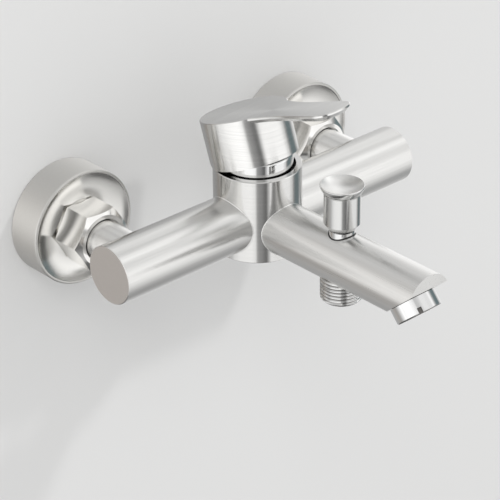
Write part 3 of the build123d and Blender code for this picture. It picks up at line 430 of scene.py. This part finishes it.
def thread_shell(crest_radius, length):
    """Sweep a thread up +Z from 0 to its length, and bevel its start; return the bmesh."""
    shell = bmesh.new()
    root_radius = crest_radius - thread_depth
    teeth = int(length / thread_pitch + 2 * spare_teeth)
    # One tooth is a flat root, a flank, a flat crest and the flank to the next root.
    profile = ((0.0, root_radius), (0.12, root_radius), (0.42, crest_radius), (0.62, crest_radius))
    points = []
    for tooth in range(teeth):
        for share, radius in profile:
            points.append((radius, 0, (tooth + share - spare_teeth) * thread_pitch))
    line = [shell.verts.new(point) for point in points]
    edges = [shell.edges.new(pair) for pair in zip(line, line[1:])]
    bmesh.ops.spin(
        shell, geom=line + edges, cent=(0, 0, 0), axis=(0, 0, 1), angle=2 * pi,
        steps=thread_facets, dvec=(0, 0, thread_pitch / thread_facets), use_merge=False,
    )
    bmesh.ops.remove_doubles(shell, verts=shell.verts, dist=weld_distance)
    for height, side in ((0.0, -1), (length, 1)):
        bmesh.ops.bisect_plane(
            shell, geom=shell.verts[:] + shell.edges[:] + shell.faces[:], dist=plane_distance,
            plane_co=(0, 0, height), plane_no=(0, 0, side), clear_outer=True,
        )
    for vert in shell.verts:
        radius = vert.co.xy.length
        widest = root_radius + hair + vert.co.z / thread_chamfer * thread_depth
        if radius > widest:
            vert.co.xy *= widest / radius
    bmesh.ops.recalc_face_normals(shell, faces=shell.faces)
    if sum(f.normal.dot(Vector((*f.calc_center_median().xy, 0))) for f in shell.faces) < 0:
        bmesh.ops.reverse_faces(shell, faces=shell.faces)
    return shell


print("thread of", round(thread_pitch / mm, 3), "mm pitch ready")

# %% [markdown]
# The threaded solids are copied, their plain cylinder is taken off and the swept thread takes its
# place. Everything else on the copy, its bore, its end face and its shoulder, stays as it was.


# %% Thread the hose outlet and the wall unions
near = 0.01 * mm
sharp_angle = radians(25)
upright = Matrix.Identity(3)
into_room = Matrix.Rotation(radians(90), 3, "X")


def threaded_copy(node_name, turn, foot, crest_radius, plain_length, thread_length, finish):
    """Replace the plain cylinder of a solid by a thread.

    Both start at the foot, a point on their axis, and turn brings +Z onto that axis.
    """
    solid = nodes[node_name]
    copy = bmesh.new()
    copy.from_mesh(solid.data)
    bmesh.ops.remove_doubles(copy, verts=copy.verts, dist=plane_distance)
    back = turn.inverted()
    plain = []
    for face in copy.faces:
        spots = [back @ (vert.co - foot) for vert in face.verts]
        outside = all(spot.xy.length > crest_radius - thread_depth - hair for spot in spots)
        inside = all(-near < spot.z < plain_length + near for spot in spots)
        round_side = max(spot.z for spot in spots) - min(spot.z for spot in spots) > near
        if outside and inside and round_side:
            plain.append(face)
    bmesh.ops.delete(copy, geom=plain, context="FACES")
    shell = thread_shell(crest_radius, thread_length)
    for vert in shell.verts:
        vert.co = turn @ vert.co + foot
    thread_mesh = bpy.data.meshes.new("thread")
    shell.to_mesh(thread_mesh)
    shell.free()
    copy.from_mesh(thread_mesh)
    bpy.data.meshes.remove(thread_mesh)
    piece_mesh = bpy.data.meshes.new("threaded_" + node_name)
    copy.to_mesh(piece_mesh)
    copy.free()
    piece_mesh.materials.append(finish)
    piece_mesh.shade_smooth()
    piece_mesh.set_sharp_from_angle(angle=sharp_angle)
    piece = bpy.data.objects.new("threaded_" + node_name, piece_mesh)
    bpy.context.scene.collection.objects.link(piece)
    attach(piece, "faucet_body")
    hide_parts(node_name)
    print(piece.name, len(plain), "plain faces off,", len(piece_mesh.polygons), "faces")


outlet_plain_length = 8.6 * mm
outlet_thread_length = 13.2 * mm
outlet_foot = Vector((knob_middle.x, knob_middle.y, outlet_low.z))
threaded_copy(
    "shower_outlet", upright, outlet_foot, outlet_crest, outlet_plain_length,
    outlet_thread_length, thread_chrome_and_painted_groove_shade,
)
union_rise = 7.0 * mm
for side in ("left", "right"):
    union_low, union_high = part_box(side + "_eccentric_union")
    wall_end = Vector(((union_low.x + union_high.x) / 2, union_high.y, union_rise))
    threaded_copy(
        side + "_eccentric_union", into_room, wall_end, outlet_crest, wall_end.y, wall_end.y,
        plated_brass,
    )

# %% [markdown]
# Where the arms and the spout meet the barrel, a fine polished weld bead follows the joint. The
# joint is the line where two cylinders cross: go round the thin one, and each point's distance
# along it follows from the round of the barrel. A round curve with a little thickness is laid on
# that line.


# %% Weld beads
bead_radius = 0.28 * mm
bead_points = 120


def weld_bead(name, thin_radius, along, across, middle):
    """Lay a bead where a thin cylinder leaves the barrel in the along direction."""
    curve = bpy.data.curves.new(name, "CURVE")
    curve.dimensions = "3D"
    curve.bevel_depth = bead_radius
    curve.bevel_resolution = 3
    spline = curve.splines.new("POLY")
    spline.points.add(bead_points - 1)
    spline.use_cyclic_u = True
    for number, point in enumerate(spline.points):
        angle = 2 * pi * number / bead_points
        sideways = thin_radius * cos(angle)
        out = sqrt(barrel_radius**2 - sideways**2)
        spot = middle + along * out + across * sideways + Vector((0, 0, thin_radius * sin(angle)))
        point.co = (*spot, 1)
    curve.materials.append(bead_chrome)
    bead = bpy.data.objects.new(name, curve)
    bpy.context.scene.collection.objects.link(bead)
    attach(bead, "faucet_body")


arm_radius = (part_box("left_arm")[1].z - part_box("left_arm")[0].z) / 2
bar_height = Vector((barrel_middle.x, barrel_middle.y, 0))
spout_height = Vector((barrel_middle.x, barrel_middle.y, spout_high.z - spout_radius))
weld_bead("left_weld_bead", arm_radius, Vector((-1, 0, 0)), Vector((0, 1, 0)), bar_height)
weld_bead("right_weld_bead", arm_radius, Vector((1, 0, 0)), Vector((0, 1, 0)), bar_height)
weld_bead("spout_weld_bead", spout_radius, Vector((0, -1, 0)), Vector((1, 0, 0)), spout_height)
print("beads laid on radii", round(arm_radius / mm, 1), "and", round(spout_radius / mm, 1))

# %% [markdown]
# The stage is the wall that the tap hangs on. It is seen from the front only: from behind it lets
# the view through, so the back of the tap can be looked at too.

# %% The wall
wall_half_width = 3.0
wall_gap = 0.4 * mm
wall_mesh = bmesh.new()
bmesh.ops.create_grid(wall_mesh, x_segments=1, y_segments=1, size=wall_half_width)
bmesh.ops.rotate(wall_mesh, verts=wall_mesh.verts, matrix=into_room)
bmesh.ops.translate(wall_mesh, verts=wall_mesh.verts, vec=(0, wall_gap, 0))
wall_data = bpy.data.meshes.new("wall")
wall_mesh.to_mesh(wall_data)
wall_mesh.free()
wall = bpy.data.objects.new("wall", wall_data)
bpy.context.scene.collection.objects.link(wall)
wall.visible_glossy = False

wall_paint, tree, shader = new_finish("wall_paint", (0.74, 0.74, 0.735), 0.0, 0.7)
behind = add_node(tree, "ShaderNodeNewGeometry").outputs["Backfacing"]
clear = add_node(tree, "ShaderNodeBsdfTransparent").outputs["BSDF"]
sides = {"Fac": behind, 1: shader.outputs["BSDF"], 2: clear}
choice = add_node(tree, "ShaderNodeMixShader", sides)
feed(tree, tree.nodes["Material Output"], {"Surface": choice.outputs["Shader"]})
wall_data.materials.append(wall_paint)
print("wall faces", [tuple(round(c, 1) for c in f.normal) for f in wall_data.polygons])

# %% [markdown]
# Two soft lamps light the wall. The small one stands high on the right and casts the tap's pale
# shadow down and to the left, and the wide one on the left softens it. Lamps would also draw hard
# white spots on the metal, so they stay out of reflections, and the studio in the next cells gives
# the metal its light.


# %% The lamps
def soft_lamp(name, place, aim, width, height, power):
    data = bpy.data.lights.new(name, "AREA")
    data.shape = "RECTANGLE"
    data.size = width
    data.size_y = height
    data.energy = power
    lamp = bpy.data.objects.new(name, data)
    lamp.location = place
    lamp.rotation_euler = (Vector(aim) - Vector(place)).to_track_quat("-Z", "Y").to_euler()
    lamp.visible_glossy = False
    bpy.context.scene.collection.objects.link(lamp)


centre = (0, -0.08, 0)
soft_lamp("high_lamp", (1.7, -1.9, 2.4), centre, width=0.2, height=0.25, power=25)
soft_lamp("front_lamp", (-1.6, -1.8, 2.2), centre, width=1.2, height=1.2, power=17)

# %% [markdown]
# Polished metal shows hardly any colour of its own: its bright and dark bands are the studio. Tall
# soft panels stand round the tap, and the gaps between them draw the dark bands down the barrel
# and the cap. The world holds that studio. A colour ramp gives the light of the panels by the
# compass direction in degrees, from the back on the left, round the front, to the back on the
# right.


# %% The tall panels
def colour_ramp(tree, read_by, stops, low, high):
    """Add a ramp from low to high. A stop is a place on it and a grey level or a colour."""
    node = add_node(tree, "ShaderNodeValToRGB", {"Fac": read_by})
    node.color_ramp.interpolation = "EASE"
    elements = node.color_ramp.elements
    while len(elements) < len(stops):
        elements.new(0.5)
    for element, (place, level) in zip(elements, stops):
        element.position = (place - low) / (high - low)
        element.color = (*level, 1) if isinstance(level, tuple) else (level, level, level, 1)
    return node.outputs["Color"]


world = bpy.data.worlds.new("studio")
world.use_nodes = True
bpy.context.scene.world = world
studio = world.node_tree
direction = add_node(studio, "ShaderNodeTexCoord").outputs["Generated"]
parts = add_node(studio, "ShaderNodeSeparateXYZ", {"Vector": direction}).outputs
forwards = number_math(studio, "MULTIPLY", parts["Y"], -1.0)
compass = number_math(studio, "ARCTAN2", parts["X"], forwards)
turn = number_math(studio, "MULTIPLY_ADD", compass, 0.5 / pi, 0.5)
blue_gap = (0.16, 0.205, 0.215)
panel_stops = (
    (-180, 0.36), (-158, (0.35, 0.32, 0.29)), (-148, (0.38, 0.34, 0.30)),
    (-138, (0.40, 0.38, 0.36)), (-127, (0.42, 0.41, 0.40)), (-117, 0.62), (-104, 1.1), (-88, 1.3),
    (-60, 1.35), (-50, 1.22), (-42, 0.40), (-36, 0.31), (-20, 0.13), (-14, 0.6), (-8, 1.2),
    (45, 1.2), (58, 0.85), (64, 0.35), (70, blue_gap), (88, blue_gap),
    (96, 0.55), (103, 0.82), (118, 0.98), (129, 1.3), (138, 0.80), (147, 0.42), (180, 0.36),
)
tall_panels = colour_ramp(studio, turn, panel_stops, -180, 180)
print("tall panels drawn with", len(panel_stops), "stops")

# %% [markdown]
# Far above and below the horizon the panels end, so the bands fade out there. A paler ramp takes
# over above, and one even light below.

# %% Where the panels end
far_stops = (
    (-180, 0.85), (-160, 0.9), (-140, 0.95), (-120, 0.85), (-50, 0.95), (45, 1.0), (54, 1.6),
    (70, 1.6), (78, 1.25), (92, 1.05), (108, 1.25), (125, 1.15), (145, 1.0), (160, 0.95),
    (172, 0.8), (180, 0.8),
)
light_above = colour_ramp(studio, turn, far_stops, -180, 180)
light_below = (1.3, 1.3, 1.3, 1)
is_above = number_math(studio, "GREATER_THAN", parts["Z"], 0.0)
far_light = mixed(studio, light_below, light_above, is_above)
# Z is the sine of the height above the horizon, and the panels' middle lies a little below it.
panel_middle = -0.1
fade_start, fade_end = 0.3, 0.9
raised = number_math(studio, "SUBTRACT", parts["Z"], panel_middle)
far_off = number_math(studio, "ABSOLUTE", raised)
fade = {"Value": far_off, "From Min": fade_start, "From Max": fade_end}
away = add_node(studio, "ShaderNodeMapRange", fade, interpolation_type="SMOOTHSTEP")
bands = mixed(studio, tall_panels, far_light, away.outputs["Result"])
print("panels fade out", fade_start, "to", fade_end, "away from their middle")

# %% [markdown]
# One round panel stands level with the tap on the left, where mostly the spout's flank sees it.
# It is full inside a narrow cone and fades out to a wide one.

# %% The round panel
panel_turn = radians(-131)
panel_height = radians(3)
panel_light = 0.62
wide_cone = cos(radians(36))
narrow_cone = cos(radians(10))
panel_direction = (
    sin(panel_turn) * cos(panel_height), -cos(panel_turn) * cos(panel_height), sin(panel_height)
)
facing = vector_math(studio, "DOT_PRODUCT", direction, panel_direction)
cone = {"Value": facing, "From Min": wide_cone, "From Max": narrow_cone, "To Max": panel_light}
round_panel = add_node(studio, "ShaderNodeMapRange", cone, interpolation_type="SMOOTHSTEP")
lit = mixed(studio, bands, round_panel.outputs["Result"], blend_type="ADD")
print("round panel towards", [round(c, 2) for c in panel_direction])

# %% [markdown]
# The last ramp is read by the height above or below the horizon, from straight down to straight
# up. It dims everything towards the dark floor and a little towards the ceiling, with one faint
# bright strip on the way up. Only reflections see the studio: to the camera the world is plain
# and pale, and it lights the wall evenly.

# %% The floor, the ceiling and what the camera sees
steepness = number_math(studio, "ARCSINE", parts["Z"])
height = number_math(studio, "MULTIPLY_ADD", steepness, 1 / pi, 0.5)
height_stops = (
    (-90, 0.04), (-64, 0.10), (-57, 0.38), (-50, 0.48), (-42, 0.60), (-35, 0.74), (-27, 0.88),
    (-12, 1.0), (8, 1.03), (25, 0.90), (38, 0.84), (43, 0.95), (50, 0.90), (56, 0.68), (90, 0.70),
)
levels = colour_ramp(studio, height, height_stops, -90, 90)
reflected = mixed(studio, lit, levels, blend_type="MULTIPLY")
plain_grey = (0.84, 0.84, 0.84, 1)
is_reflection = add_node(studio, "ShaderNodeLightPath").outputs["Is Glossy Ray"]
seen = mixed(studio, plain_grey, reflected, is_reflection)
feed(studio, studio.nodes["Background"], {"Color": seen, "Strength": 1.0})
print("studio levels drawn with", len(height_stops), "stops")

# %% [markdown]
# The camera looks down on the tap from the front left through a long lens, so parallel edges stay
# nearly parallel.

# %% The camera
camera_turn = radians(-41.89)
camera_height = radians(28.71)
camera_roll = radians(-0.642)
camera_distance = 1.1185
camera_target = Vector((-6.19, -64.26, -19.33)) * mm
towards_camera = Vector(
    (
        sin(camera_turn) * cos(camera_height),
        -cos(camera_turn) * cos(camera_height),
        sin(camera_height),
    )
)
camera_data = bpy.data.cameras.new("camera")
camera_data.lens = 160.5
camera_data.sensor_width = 36
camera = bpy.data.objects.new("camera", camera_data)
camera.location = camera_target + towards_camera * camera_distance
camera.rotation_mode = "QUATERNION"
upright_camera = towards_camera.to_track_quat("Z", "Y")
camera.rotation_quaternion = upright_camera @ Quaternion((0, 0, 1), camera_roll)
bpy.context.scene.collection.objects.link(camera)
bpy.context.scene.camera = camera
bpy.context.scene.view_settings.view_transform = "Standard"
print("camera at", [round(c, 3) for c in camera.location])
